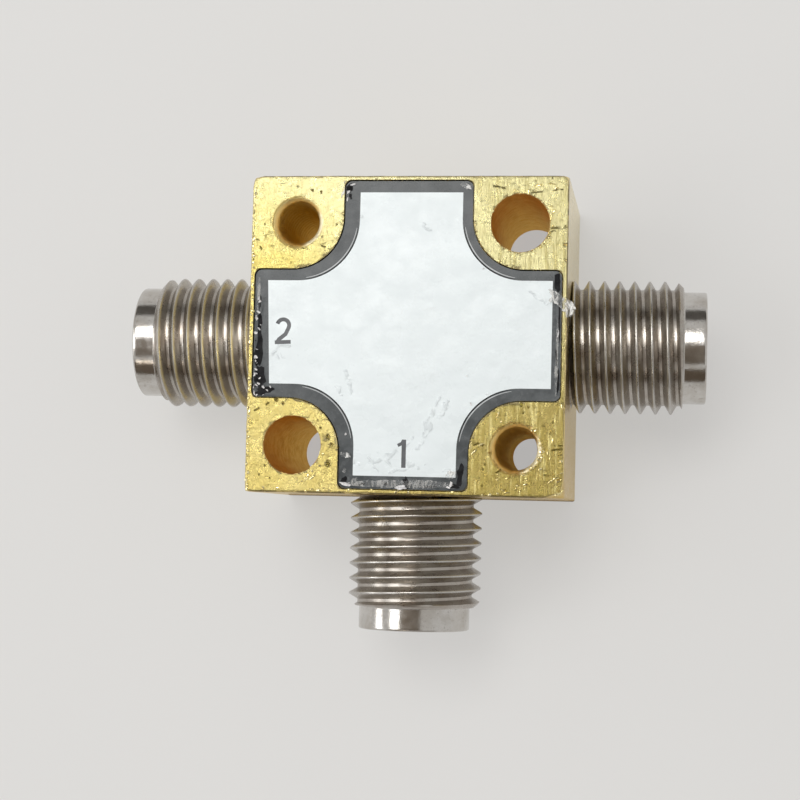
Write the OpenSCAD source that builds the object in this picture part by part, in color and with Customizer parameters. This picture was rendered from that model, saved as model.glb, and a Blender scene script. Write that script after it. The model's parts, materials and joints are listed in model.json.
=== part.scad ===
// Coaxial power divider with three threaded ports on a square gold-plated block.
// Millimetres. The origin is the centre of the flat back face, +Z points out of the labelled
// front, +X points out of port 3, and ports 1 and 2 point along -Y and -X.

/* [Block] */
// Side of the square block
body_w = 14.5; // [12:0.1:18]
// Thickness of the block from its back to its front lands
body_t = 10.5; // [8.7:0.1:13]
// Chamfer that breaks the block's outer edges
edge_break = 0.12; // [0.05:0.01:0.3]

/* [Corner holes] */
// Distance from two sides of the block to the centre of a corner hole
hole_inset = 2.17; // [2:0.01:2.6]
// Diameter of the plain screw holes, on one diagonal
screw_hole_d = 2.65; // [2.2:0.05:3.2]
// Bore of the tapped holes, on the other diagonal
tapped_hole_d = 1.87; // [1.5:0.01:2.3]
// Width of the countersink around a tapped hole
tapped_hole_lead = 0.24; // [0.1:0.01:0.4]

/* [Cover and label] */
// Width of the four arms of the cross-shaped pocket in the front
pocket_arm_w = 5.94; // [4.9:0.02:7.2]
// Metal left between the end of an arm and the block's side
rim_w = 0.2; // [0.15:0.01:0.5]
// Metal left on the diagonal between a screw hole and the pocket
land_wall = 0.69; // [0.5:0.01:0.9]
// Radius at the two corners of an arm's end
arm_tip_r = 0.35; // [0.1:0.05:0.6]
// Thickness of the cover plate
cover_t = 0.8; // [0.6:0.05:1.2]
// Thickness of the printed label
label_t = 0.1; // [0.06:0.01:0.2]
// Depth of the label's face below the lands
label_sink = 0.1; // [0.02:0.01:0.3]

/* [Port thread] */
// Distance that a port stands out of the block
port_reach = 6.25; // [5.2:0.05:7.5]
// Crest diameter of the coupling thread
thread_d = 6.25; // [6.1:0.01:7.5]
// Pitch of the coupling thread
thread_pitch = 0.7056; // [0.5:0.0001:1]
// Chamfer at the front end of the thread
thread_end = 0.3; // [0.1:0.05:0.4]
// Diameter of the plain rim ahead of the thread
rim_d = 5.24; // [5:0.01:5.5]
// Length of the plain rim
rim_l = 1.08; // [0.6:0.02:1.4]
// Depth that a port's shell is screwed into the block
screw_in = 2.5; // [2:0.05:3]

/* [Port mouth] */
// Diameter of the open mouth
mouth_d = 4.6; // [3.9:0.02:4.8]
// Depth of the mouth down to the reference plane
mouth_l = 1.9; // [1.5:0.02:2.3]
// Bore of the air line behind the reference plane
line_d = 2.92; // [2.4:0.01:3.5]
// Chamfer on both edges of the front end
mouth_lead = 0.1; // [0.05:0.01:0.15]

/* [Centre contact] */
// Outer diameter of the centre contact
contact_d = 1.27; // [1.1:0.01:1.5]
// Distance from the reference plane down to the contact's tip
contact_sink = 0.05; // [0:0.01:0.1]
// Bore of the front socket
socket_d = 0.94; // [0.8:0.01:1]
// Depth of the front socket
socket_l = 2; // [1.7:0.05:2.4]
// Width of the slots that make the socket springy
slot_w = 0.15; // [0.1:0.01:0.2]
// Length of the slots
slot_l = 1.8; // [1.4:0.05:2]
// Depth of the small socket at the contact's back end
back_socket_l = 1; // [0.8:0.05:1.3]

/* [Support bead] */
// Outer diameter of the support bead
bead_d = 3.7; // [3.5:0.05:4.2]
// Thickness of the support bead
bead_t = 1; // [0.8:0.05:1.2]
// Distance from the reference plane down to the bead
bead_sink = 2.9; // [2.6:0.05:3.2]
// Diameter of the contact's neck inside the bead
neck_d = 0.9; // [0.7:0.01:1]
// Number of air holes through the bead
bead_holes = 6; // [3:1:6]
// Diameter of an air hole
bead_hole_d = 0.46; // [0.3:0.01:0.5]

/* [Glass bead] */
// Outer diameter of the glass bead's metal ring
ring_d = 1.93; // [1.6:0.01:2.3]
// Wall of the metal ring
ring_wall = 0.15; // [0.1:0.01:0.25]
// Length of the ring and its glass
ring_l = 1.4; // [1.2:0.05:1.8]
// Diameter of the pin through the glass
pin_d = 0.305; // [0.26:0.005:0.36]
// Length of the pin ahead of the glass, towards the contact
pin_front = 1.1; // [0.9:0.05:1.2]
// Length of the pin behind the ring's ledge, inside the channel
pin_back = 0.45; // [0.3:0.05:0.6]
// Thickness of the ledge that the ring seats on
ledge_t = 0.2; // [0.1:0.01:0.3]
// Hole through the ledge
ledge_hole_d = 1.5; // [1.2:0.01:1.6]

/* [Sliding contact] */
// Outer diameter of the sleeve that slides onto the pin
sleeve_d = 0.5; // [0.42:0.01:0.6]
// Length of the sleeve along the pin
sleeve_l = 0.45; // [0.3:0.01:0.5]
// Thickness of the sleeve's closed end
sleeve_end = 0.08; // [0.05:0.01:0.12]
// Width of the tab that lies on the trace
tab_w = 0.2; // [0.12:0.01:0.22]
// Length of the tab
tab_l = 0.4; // [0.3:0.01:0.5]
// Thickness of the tab
tab_t = 0.06; // [0.04:0.01:0.08]

/* [Chip and channel] */
// Width of the channel that the chip lies in
channel_w = 2; // [1.7:0.05:2.4]
// Corner radius at the ends of the channel
channel_r = 0.4; // [0.2:0.05:0.6]
// Height of the air space between the traces and the cover's boss
air_h = 1.5; // [1.2:0.05:1.8]
// Thickness of the ceramic chip
chip_t = 0.254; // [0.2:0.001:0.3]
// Thickness of the metal and resistor films on the chip
film_t = 0.02; // [0.01:0.005:0.03]
// Width of a trace
trace_w = 0.24; // [0.2:0.01:0.3]
// Length of a trace's taper next to its resistor
trace_taper = 0.4; // [0.2:0.05:0.6]
// Side of the square pad where the three resistors meet
pad_w = 0.5; // [0.45:0.01:0.7]
// Width of a film resistor
resistor_w = 0.45; // [0.3:0.01:0.45]
// Length of a film resistor between its pads
resistor_l = 0.16; // [0.1:0.01:0.25]

/* [Fits] */
// Gap around the cover in its pocket and around its boss in the channel
cover_gap = 0.04; // [0.01:0.01:0.1]
// Gap between the label's edge and the pocket's wall
label_gap = 0.05; // [0.02:0.01:0.15]
// Radial gap between the engaged threads
thread_gap = 0.02; // [0.01:0.005:0.05]
// Radial gap around the support bead and the retaining sleeve
bead_gap = 0.01; // [0.005:0.005:0.03]
// Radial gap around the glass bead's ring, filled by solder
ring_gap = 0.025; // [0.01:0.005:0.05]
// Radial gap of the pin in the contact's back socket and in the sliding contact
pin_gap = 0.01; // [0.005:0.005:0.02]
// Gap between the chip and the channel's sides
chip_gap = 0.05; // [0.03:0.01:0.1]
// Gap on both sides of the sliding contact, to the channel's end and to the chip
sleeve_gap = 0.05; // [0.03:0.01:0.08]

/* [Hidden] */
$fn = 96;
PORTS = [1, 2, 3];
// Heading of ports 1, 2 and 3 around +Z, in degrees from +X
port_heading = [-90, 180, 0];
// Extra length that a cutting shape runs past the face it cuts through
over = 0.5;
arc_steps = 16;

// Height of the port axes above the back face
axis_z = body_t / 2;
half_w = body_w / 2;
hole_xy = half_w - hole_inset;
// The engaged threads are drawn as plain cylinders at their pitch diameter
engaged_r = (thread_d - 0.6495 * thread_pitch) / 2;

// The pocket's outline: half width of an arm, reach of its end and the land's arc
arm_half = pocket_arm_w / 2;
arm_reach = half_w - rim_w;
land_arc = ((hole_xy - arm_half) * sqrt(2) - land_wall - screw_hole_d / 2) / (sqrt(2) - 1);
land_r = max(0.3, min(land_arc, arm_reach - arm_half - arm_tip_r - 0.05));
cover_top = body_t - label_sink - label_t;
pocket_floor = cover_top - cover_t;

// Stations along a port, measured outward from the block's side
ref_plane = port_reach - mouth_l;
thread_front = port_reach - rim_l;
bead_front = ref_plane - bead_sink;
bead_back = bead_front - bead_t;
contact_tip = ref_plane - contact_sink;
contact_back = -screw_in + 0.3;
ring_back = -screw_in - ring_l - 0.05;
channel_end = ring_back - ledge_t;
pin_tip = ring_back + ring_l + pin_front;
pin_end = channel_end - pin_back;
sleeve_front = channel_end - sleeve_gap;
sleeve_back = sleeve_front - sleeve_l;
sleeve_close = sleeve_back - sleeve_end;

// Heights inside the channel: the pin's underside is level with the top of the traces
trace_top = axis_z - pin_d / 2;
chip_top = trace_top - film_t;
channel_floor = chip_top - chip_t;
boss_bottom = trace_top + air_h;
channel_reach = half_w + channel_end;
chip_w = channel_w - 2 * chip_gap;
chip_reach = half_w + sleeve_close - sleeve_gap;
chip_margin = 0.05;
pad_half = pad_w / 2;
resistor_out = pad_half + resistor_l;

GOLD = [0.87, 0.78, 0.42];
STEEL = [0.74, 0.72, 0.69];
CONTACT_GOLD = [0.90, 0.74, 0.34];

function port_nodes(name) = [for (n = PORTS) str(name, "_", n)];

// Points along an arc, in order from angle a0 to angle a1
function arc(cx, cy, r, a0, a1) =
    [for (i = [0:arc_steps])
        let (a = a0 + (a1 - a0) * i / arc_steps)
        [cx + r * cos(a), cy + r * sin(a)]];

function turned(points, a) =
    [for (p = points) [p[0] * cos(a) - p[1] * sin(a), p[0] * sin(a) + p[1] * cos(a)]];

// A cross with four equal arms: round corners at the arms' ends, arcs between the arms
module cross_outline(reach, half, inner_r, tip_r) {
    land = half + inner_r;
    quarter = concat(
        arc(reach - tip_r, half - tip_r, tip_r, 0, 90),
        arc(land, land, inner_r, 270, 180),
        arc(half - tip_r, reach - tip_r, tip_r, 0, 90)
    );
    polygon([for (k = [0:3]) each turned(quarter, 90 * k)]);
}

// The pocket's outline drawn smaller all round by a gap
module pocket_outline(gap) {
    cross_outline(arm_reach - gap, arm_half - gap, land_r + gap, arm_tip_r - gap);
}

module rounded_bar(x0, x1, w, r) {
    y = w / 2;
    polygon(concat(
        arc(x1 - r, y - r, r, 0, 90),
        arc(x0 + r, y - r, r, 90, 180),
        arc(x0 + r, r - y, r, 180, 270),
        arc(x1 - r, r - y, r, 270, 360)
    ));
}

// The tee-shaped channel that joins the three ports, drawn smaller all round by a gap
module channel_outline(gap) {
    reach = channel_reach - gap;
    w = channel_w - 2 * gap;
    rounded_bar(-reach, reach, w, channel_r - gap);
    rotate(-90) rounded_bar(-w / 2, reach, w, channel_r - gap);
}

// Places children that are drawn along +Z from the block's side onto port n
module at_port(n) {
    translate([0, 0, axis_z])
        rotate([0, 0, port_heading[n - 1]])
            translate([half_w, 0, 0])
                rotate([0, 90, 0])
                    children();
}

// Places children that are drawn along +X from the block's centre towards port n
module towards_port(n, z) {
    translate([0, 0, z]) rotate([0, 0, port_heading[n - 1]]) children();
}

// A rod or bore between two stations of a port
module rod(r, z0, z1) {
    translate([0, 0, z0]) cylinder(r = r, h = z1 - z0);
}

module tube(r_out, r_in, z0, z1) {
    difference() {
        rod(r_out, z0, z1);
        rod(r_in, z0 - over, z1 + over);
    }
}

// A square with its four corners cut, for the block's sections
module broken_square(w, h, cut) {
    x = w / 2;
    y = h / 2;
    polygon([
        [x, y - cut], [x - cut, y], [cut - x, y], [-x, y - cut],
        [-x, cut - y], [cut - x, -y], [x - cut, -y], [x, cut - y]
    ]);
}

// The solid block with all twelve edges broken
module block() {
    intersection() {
        linear_extrude(height = body_t) broken_square(body_w, body_w, edge_break);
        translate([0, half_w, axis_z])
            rotate([90, 0, 0])
                linear_extrude(height = body_w) broken_square(body_w, body_t, edge_break);
        translate([-half_w, 0, axis_z])
            rotate([90, 0, 90])
                linear_extrude(height = body_w) broken_square(body_w, body_t, edge_break);
    }
}

module screw_hole() {
    rod(screw_hole_d / 2, -over, body_t + over);
}

module tapped_hole() {
    r = tapped_hole_d / 2;
    rod(r, -over, body_t + over);
    translate([0, 0, body_t - tapped_hole_lead])
        cylinder(r1 = r, r2 = r + tapped_hole_lead + over, h = tapped_hole_lead + over);
}

// Everything bored into the block for one port
module port_bores() {
    rod(engaged_r + thread_gap, -screw_in, over);
    rod(ring_d / 2 + ring_gap, ring_back, over - screw_in);
    rod(ledge_hole_d / 2, channel_end - over, ring_back + over);
}

module housing() {
    color(GOLD)
    difference() {
        block();
        for (s = [-1, 1]) {
            translate([s * hole_xy, s * hole_xy, 0]) screw_hole();
            translate([s * hole_xy, -s * hole_xy, 0]) tapped_hole();
        }
        translate([0, 0, pocket_floor])
            linear_extrude(height = cover_t + label_t + label_sink + over) pocket_outline(0);
        translate([0, 0, channel_floor])
            linear_extrude(height = pocket_floor - channel_floor + over / 2) channel_outline(0);
        for (n = PORTS) at_port(n) port_bores();
    }
}

// The plate carries a boss that fills the channel's upper part, so the space over the chip
// stays too small to resonate
module cover() {
    color(GOLD) {
        translate([0, 0, pocket_floor]) linear_extrude(height = cover_t) pocket_outline(cover_gap);
        translate([0, 0, boss_bottom])
            linear_extrude(height = pocket_floor - boss_bottom + cover_t / 2)
                channel_outline(cover_gap);
    }
}

module label() {
    color([0.92, 0.94, 0.95])
    translate([0, 0, cover_top]) linear_extrude(height = label_t) pocket_outline(label_gap);
}

module chip() {
    color([0.93, 0.93, 0.90])
    translate([0, 0, channel_floor]) linear_extrude(height = chip_t) {
        square([2 * chip_reach, chip_w], center = true);
        translate([-chip_w / 2, -chip_reach]) square([chip_w, chip_reach + chip_w / 2]);
    }
}

module junction_pad() {
    color(CONTACT_GOLD)
    translate([0, 0, chip_top]) linear_extrude(height = film_t) square(pad_w, center = true);
}

module trace(n) {
    x1 = resistor_out + trace_taper;
    x2 = chip_reach - chip_margin;
    color(CONTACT_GOLD)
    towards_port(n, chip_top) linear_extrude(height = film_t) polygon([
        [resistor_out, -resistor_w / 2], [x1, -trace_w / 2], [x2, -trace_w / 2],
        [x2, trace_w / 2], [x1, trace_w / 2], [resistor_out, resistor_w / 2]
    ]);
}

module film_resistor(n) {
    color([0.32, 0.33, 0.36])
    towards_port(n, chip_top)
        translate([pad_half, -resistor_w / 2, 0]) cube([resistor_l, resistor_w, film_t]);
}

// The outer conductor of a port: one turned piece with its thread drawn at the crests
module connector_shell(n) {
    thread_r = thread_d / 2;
    rim_r = rim_d / 2;
    mouth_r = mouth_d / 2;
    seat_r = bead_d / 2 + bead_gap;
    color(STEEL)
    at_port(n) rotate_extrude() polygon([
        [seat_r, -screw_in], [engaged_r, -screw_in], [engaged_r, 0], [thread_r, 0],
        [thread_r, thread_front - thread_end], [thread_r - thread_end, thread_front],
        [rim_r, thread_front], [rim_r, port_reach - mouth_lead],
        [rim_r - mouth_lead, port_reach], [mouth_r + mouth_lead, port_reach],
        [mouth_r, port_reach - mouth_lead], [mouth_r, ref_plane], [line_d / 2, ref_plane],
        [line_d / 2, bead_front], [seat_r, bead_front]
    ]);
}

module support_bead(n) {
    hole_ring_r = (contact_d + line_d) / 4;
    color([0.86, 0.83, 0.72])
    at_port(n) difference() {
        tube(bead_d / 2, neck_d / 2 + bead_gap, bead_back, bead_front);
        for (k = [1:bead_holes])
            rotate([0, 0, 360 * k / bead_holes])
                translate([hole_ring_r, 0, 0])
                    rod(bead_hole_d / 2, bead_back - over, bead_front + over);
    }
}

// Pushed in behind the support bead, which it holds against the shell's shoulder
module retaining_sleeve(n) {
    color(CONTACT_GOLD)
    at_port(n) tube(bead_d / 2, line_d / 2, -screw_in, bead_back);
}

module center_contact(n) {
    r = contact_d / 2;
    socket_r = socket_d / 2;
    lead = min(0.08, (r - socket_r) / 2);
    color(CONTACT_GOLD)
    at_port(n) difference() {
        rotate_extrude() polygon([
            [0, contact_back], [r - lead, contact_back], [r, contact_back + lead],
            [r, bead_back], [neck_d / 2, bead_back], [neck_d / 2, bead_front],
            [r, bead_front], [r, contact_tip - lead], [r - lead, contact_tip], [0, contact_tip]
        ]);
        rod(socket_r, contact_tip - socket_l, contact_tip + over);
        for (a = [0, 90])
            rotate([0, 0, a])
                translate([-slot_w / 2, -contact_d, contact_tip - slot_l])
                    cube([slot_w, 2 * contact_d, slot_l + over]);
        rod(pin_d / 2 + pin_gap, contact_back - over, contact_back + back_socket_l);
    }
}

// A closed sleeve on the pin with a tab that lies on the trace
module sliding_contact(n) {
    color(CONTACT_GOLD)
    at_port(n) {
        difference() {
            rod(sleeve_d / 2, sleeve_close, sleeve_front);
            rod(pin_d / 2 + pin_gap, sleeve_back, sleeve_front + over);
        }
        translate([pin_d / 2 - tab_t, -tab_w / 2, sleeve_close - tab_l])
            cube([tab_t, tab_w, tab_l + sleeve_end / 2]);
    }
}

module glass_bead_ring(n) {
    color(CONTACT_GOLD)
    at_port(n) tube(ring_d / 2, ring_d / 2 - ring_wall, ring_back, ring_back + ring_l);
}

module glass_bead(n) {
    color([0.35, 0.45, 0.50])
    at_port(n) tube(ring_d / 2 - ring_wall, pin_d / 2, ring_back, ring_back + ring_l);
}

module bead_pin(n) {
    color(CONTACT_GOLD)
    at_port(n) rod(pin_d / 2, pin_end, pin_tip);
}

housing();
cover();
label();
chip();
junction_pad();
for (n = PORTS) {
    trace(n);
    film_resistor(n);
    connector_shell(n);
    support_bead(n);
    retaining_sleeve(n);
    center_contact(n);
    sliding_contact(n);
    glass_bead_ring(n);
    glass_bead(n);
    bead_pin(n);
}
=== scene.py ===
"""Looks of the coaxial power divider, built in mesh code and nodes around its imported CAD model.

Lengths are in millimetres until a mesh or an object is made. The object lies on its back on the
floor, and the camera looks down on its labelled front.
"""

import json
import math
import random

import bmesh
import bpy
from mathutils import Euler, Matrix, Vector, noise
from mathutils.geometry import delaunay_2d_cdt


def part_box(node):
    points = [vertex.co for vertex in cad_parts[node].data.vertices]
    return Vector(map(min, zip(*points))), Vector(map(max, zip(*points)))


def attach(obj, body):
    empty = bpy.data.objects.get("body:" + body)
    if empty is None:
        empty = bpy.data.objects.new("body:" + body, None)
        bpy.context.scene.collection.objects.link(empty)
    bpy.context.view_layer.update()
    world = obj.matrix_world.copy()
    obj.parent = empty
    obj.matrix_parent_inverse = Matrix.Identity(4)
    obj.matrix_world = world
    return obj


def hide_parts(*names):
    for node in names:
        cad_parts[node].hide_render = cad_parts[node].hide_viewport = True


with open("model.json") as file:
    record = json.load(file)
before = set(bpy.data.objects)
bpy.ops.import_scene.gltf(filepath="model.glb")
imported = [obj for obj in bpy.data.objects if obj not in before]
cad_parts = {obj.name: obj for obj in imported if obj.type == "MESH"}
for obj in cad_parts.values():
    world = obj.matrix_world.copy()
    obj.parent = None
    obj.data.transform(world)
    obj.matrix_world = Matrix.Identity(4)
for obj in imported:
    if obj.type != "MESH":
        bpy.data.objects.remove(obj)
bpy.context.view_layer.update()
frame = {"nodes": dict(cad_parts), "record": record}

MM = 0.001
TAU = 2 * math.pi


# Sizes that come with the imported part
def box_mm(node):
    low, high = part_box(node)
    return low / MM, high / MM


DIMS = {mount["name"]: mount["dims"] for mount in frame["record"]["mounts"]}
block_low, block_high = box_mm("housing")
label_low, label_high = box_mm("label")
shell_low, shell_high = box_mm("connector_shell_3")
HALF = block_high.x
TOP = block_high.z
AXIS_Z = TOP / 2
LABEL_Z = label_high.z
LABEL_BACK = label_low.z
LABEL_REACH = label_high.x
HOLE_XY = DIMS["screw_holes"]["pcd_mm"] / (2 * math.sqrt(2))
SCREW_R = DIMS["screw_holes"]["hole_r_mm"]
TAP_R = DIMS["tapped_hole_upper_left"]["r_mm"]
CREST_R = DIMS["port_1_thread"]["r_mm"]
CREST_LENGTH = DIMS["port_1_thread"]["length_mm"]
MOUTH_R = DIMS["port_1_mouth"]["r_mm"]
SHELL_TIP = shell_high.x - HALF
SHELL_BACK = shell_low.x - HALF
BEAD_FRONT = box_mm("support_bead_3")[1].x - HALF

# Sizes that repeat the part's source
LAND_CENTRE = 5.31
LAND_R = 2.34
TAP_LIP = 0.24

# Camera, fitted to the photograph
CAMERA_PLACE = (11.737, -8.341, 94.021)
CAMERA_TURN = (3.843, 8.028, 1.441)
CAMERA_LENS = 84.484
SENSOR_WIDTH = 36
NEAREST_SEEN = 1.0


def new_object(name, data):
    made = bpy.data.objects.new(name, data)
    bpy.context.scene.collection.objects.link(made)
    return made


optics = bpy.data.cameras.new("camera")
optics.lens = CAMERA_LENS
optics.sensor_width = SENSOR_WIDTH
optics.clip_start = NEAREST_SEEN * MM
camera = new_object("camera", optics)
camera.location = Vector(CAMERA_PLACE) * MM
camera.rotation_euler = Euler([math.radians(a) for a in CAMERA_TURN])
bpy.context.scene.camera = camera


# Materials
class Value:
    """A number that changes over a surface. Arithmetic with it adds nodes to its look."""

    def __init__(self, look, socket):
        self.look, self.socket = look, socket

    def __add__(self, other):
        return self.look.math("ADD", self, other)

    def __sub__(self, other):
        return self.look.math("SUBTRACT", self, other)

    def __rsub__(self, other):
        return self.look.math("SUBTRACT", other, self)

    def __mul__(self, other):
        return self.look.math("MULTIPLY", self, other)

    def __abs__(self):
        return self.look.math("ABSOLUTE", self)

    def at_least(self, other):
        return self.look.math("MAXIMUM", self, other)

    def ramp(self, low, high, to_low=0.0, to_high=1.0):
        numbers = enumerate((self, low, high, to_low, to_high))
        made = self.look.node("ShaderNodeMapRange", numbers, interpolation_type="SMOOTHSTEP")
        return Value(self.look, made.outputs[0])


class Look:
    """A Principled material, with short ways to build its pattern in millimetres."""

    def __init__(self, name, color, roughness, metallic=0.0):
        self.material = bpy.data.materials.new(name)
        self.material.use_nodes = True
        self.tree = self.material.node_tree
        self.shader = self.tree.nodes["Principled BSDF"]
        self.color = color
        self.set("Base Color", color)
        self.set("Roughness", roughness)
        self.set("Metallic", metallic)
        coords = self.node("ShaderNodeTexCoord")
        self.facing = coords.outputs["Normal"]
        self.place = self.vector("SCALE", coords.outputs["Object"], scale=1 / MM)

    def node(self, kind, inputs=(), **settings):
        """A new node. Its inputs are given by name or number."""
        made = self.tree.nodes.new(kind)
        for key, value in settings.items():
            setattr(made, key, value)
        for key, value in dict(inputs).items():
            self.give(made.inputs[key], value)
        return made

    def give(self, socket, value):
        if isinstance(value, Value):
            value = value.socket
        if isinstance(value, bpy.types.NodeSocket):
            self.tree.links.new(value, socket)
        elif socket.type == "RGBA":
            socket.default_value = (*value, 1.0)
        else:
            socket.default_value = value

    def set(self, socket_name, value):
        self.give(self.shader.inputs[socket_name], value)

    def math(self, operation, *values, clamp=False):
        made = self.node("ShaderNodeMath", enumerate(values), operation=operation, use_clamp=clamp)
        return Value(self, made.outputs[0])

    def vector(self, operation, a, b=None, scale=None):
        given = {0: a, 1: b, "Scale": scale}
        given = {key: value for key, value in given.items() if value is not None}
        made = self.node("ShaderNodeVectorMath", given, operation=operation)
        if operation in ("DISTANCE", "DOT_PRODUCT", "LENGTH"):
            return Value(self, made.outputs[1])
        return made.outputs[0]

    def axes(self, vector=None):
        made = self.node("ShaderNodeSeparateXYZ", {0: self.place if vector is None else vector})
        return [Value(self, part) for part in made.outputs]

    def noise(self, scale, detail=3.0, rough=0.5, warp=0.0):
        """Cloudy noise. Its scale is one number, or one for each axis."""
        place = self.place
        if isinstance(scale, tuple):
            place, scale = self.vector("MULTIPLY", place, scale), 1.0
        given = {"Vector": place, "Scale": scale, "Detail": detail, "Roughness": rough, "Distortion": warp}
        return Value(self, self.node("ShaderNodeTexNoise", given).outputs["Fac"])

    def wandering(self, place, scale, reach):
        """A place that wanders from itself, by up to half of reach along each axis."""
        color = self.node("ShaderNodeTexNoise", {"Vector": self.place, "Scale": scale}).outputs["Color"]
        shift = self.vector("SUBTRACT", color, (0.5, 0.5, 0.5))
        return self.vector("ADD", place, self.vector("SCALE", shift, scale=reach))

    def cells(self, scale, shift):
        """The distance to the nearest of many strewn points."""
        given = {"Vector": self.vector("ADD", self.place, shift), "Scale": scale}
        return Value(self, self.node("ShaderNodeTexVoronoi", given).outputs["Distance"])

    def strokes(self, lines, place, widen=1.0):
        """1 along straight lines on the front, falling to 0 at the width of each."""
        flat = self.vector("MULTIPLY", place, (1, 1, 0))
        drawn = None
        for *ends, width in lines:
            start = Vector((*ends[:2], 0))
            run = Vector((*ends[2:], 0)) - start
            offset = self.vector("SUBTRACT", flat, start)
            along = self.vector("DOT_PRODUCT", offset, run / run.length_squared)
            foot = self.vector("SCALE", run, scale=self.math("ADD", along, 0.0, clamp=True))
            gap = self.vector("DISTANCE", offset, foot)
            line = gap.ramp(0.35 * widen * width, widen * width, 1, 0)
            drawn = line if drawn is None else drawn.at_least(line)
        return drawn

    def mix(self, factor, a, b):
        return self.node("ShaderNodeMix", {0: factor, 6: a, 7: b}, data_type="RGBA").outputs[2]

    def paint(self, amount, tone):
        self.color = self.mix(amount, self.color, tone)

    def finished(self, rough, relief, depth):
        """The material, with relief as deep as depth, in millimetres, where it goes from 0 to 1."""
        bump = self.node("ShaderNodeBump", {"Strength": 1.0, "Distance": depth * MM, "Height": relief})
        self.set("Base Color", self.color)
        self.set("Roughness", rough)
        self.set("Normal", bump.outputs["Normal"])
        return self.material


# Scratches and nicks on the gold front: both ends and the width
SCRATCHES = [
    (-4.1, 4.05, -3.5, 3.85, 0.05), (-6.95, 4.2, -6.75, 3.85, 0.05), (-7.0, 4.3, -6.65, 4.15, 0.04),
    (-5.15, 6.75, -5.0, 6.7, 0.06), (3.85, 6.75, 4.35, 6.65, 0.06), (5.55, 6.45, 6.95, 6.6, 0.04),
    (6.5, 4.85, 7.2, 4.9, 0.06), (6.5, 4.7, 6.65, 4.7, 0.05), (-6.85, -3.55, -6.2, -3.2, 0.06),
    (6.8, -4.9, 7.2, -4.9, 0.04), (6.7, -5.1, 7.2, -5.05, 0.05), (6.85, -5.35, 7.2, -5.3, 0.04),
    (3.2, -5.2, 3.65, -4.9, 0.05), (3.2, -4.95, 3.4, -4.85, 0.04), (4.2, -6.2, 4.5, -6.0, 0.06),
]

# Olive pits on the gold front: place and radius
PITS = [
    (-3.45, -4.7, 0.15), (-3.25, -5.05, 0.12), (-3.4, -5.9, 0.17), (-4.45, 6.55, 0.07),
    (-4.05, 6.5, 0.06), (-5.85, -3.05, 0.1), (-5.55, -3.2, 0.08), (-3.95, 4.4, 0.07),
    (3.15, -3.65, 0.1), (5.3, -3.1, 0.09), (5.6, -3.2, 0.06), (-3.8, -4.3, 0.07),
]


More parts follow.
